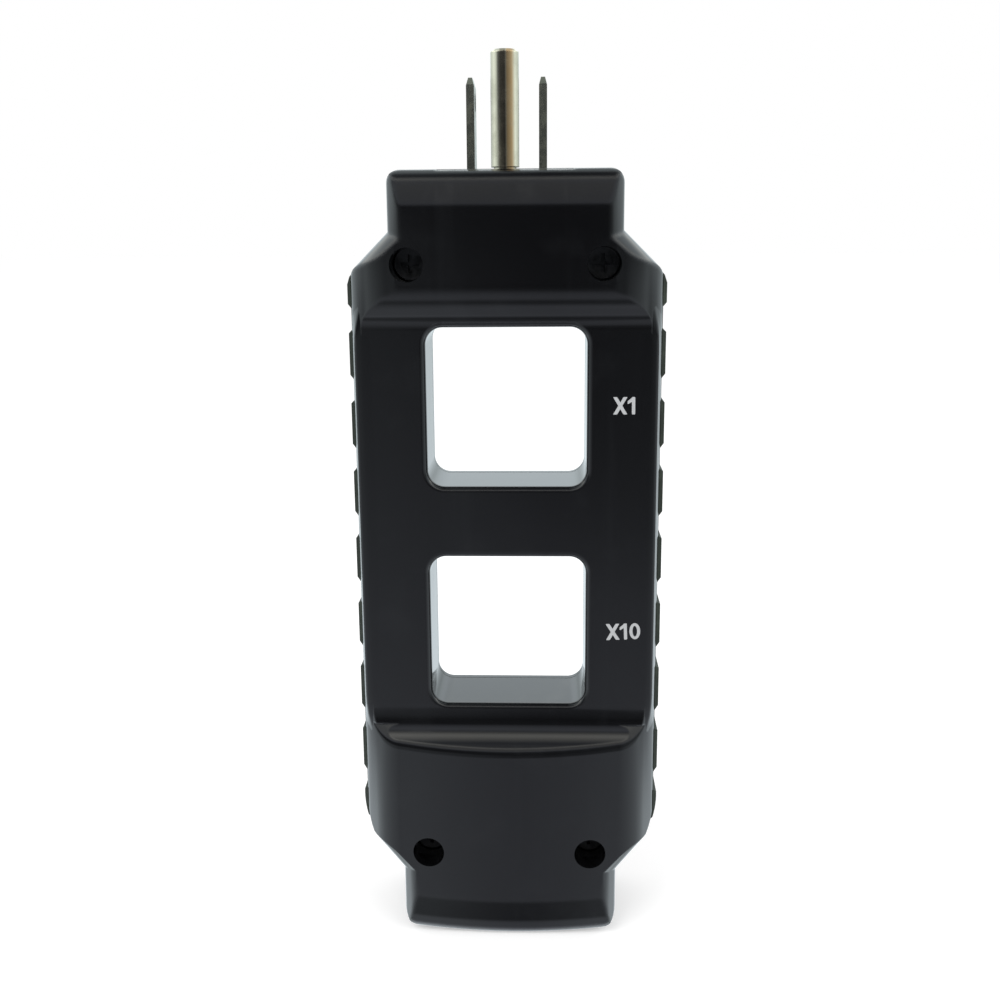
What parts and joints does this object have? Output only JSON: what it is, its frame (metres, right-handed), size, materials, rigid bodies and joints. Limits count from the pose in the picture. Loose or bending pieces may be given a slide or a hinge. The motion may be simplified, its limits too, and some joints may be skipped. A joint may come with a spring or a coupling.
{
  "type": "ac line splitter",
  "caption": "Plug-in clamp meter adapter: three-pin plug on one end, socket on the other, two square jaw windows through a flat waist, ribbed rubber side grips",
  "frame": {"origin": "centre of the bounding box in X and Y, at the flat socket face in Z, on which the part stands", "axes": "+Z runs from the socket end to the plug end, -Y is the side with the screw recesses, +X is to the right when that side is seen with the plug up"},
  "size_m": [0.0558, 0.025, 0.1604],
  "materials": {
    "case_black": "glossy black moulded plastic",
    "grip_rubber": "dull dark rubber",
    "screw_steel": "plain steel",
    "insert_black": "satin black plastic",
    "plug_brass": "polished, slightly dulled brass",
    "tinned": "tinned copper",
    "wire_black": "black insulation",
    "coil_enamel": "enamelled copper",
    "former_nylon": "natural nylon",
    "tape_yellow": "polyester tape",
    "wire_white": "white insulation",
    "wire_green": "green insulation",
    "body_brown": "moulded thermoset",
    "cover_board": "fibre board",
    "contact_brass": "plain brass"
  },
  "bodies": {
    "root": {"rear_shell": "case_black", "front_shell": "case_black", "left_grip": "grip_rubber", "right_grip": "grip_rubber", "case_screws": "screw_steel", "plug_insert": "insert_black", "line_blade": "plug_brass", "neutral_blade": "plug_brass", "ground_pin": "plug_brass", "plug_crimps": "tinned", "line_wire": "wire_black", "line_splice": "tinned", "line_coil": "coil_enamel", "coil_former": "former_nylon", "coil_tape": "tape_yellow", "neutral_wire": "wire_white", "ground_wire": "wire_green", "receptacle_face": "insert_black", "receptacle_body": "body_brown", "contact_cover": "cover_board", "line_contact": "contact_brass", "neutral_contact": "contact_brass", "ground_contact": "contact_brass"}
  },
  "joints": []
}
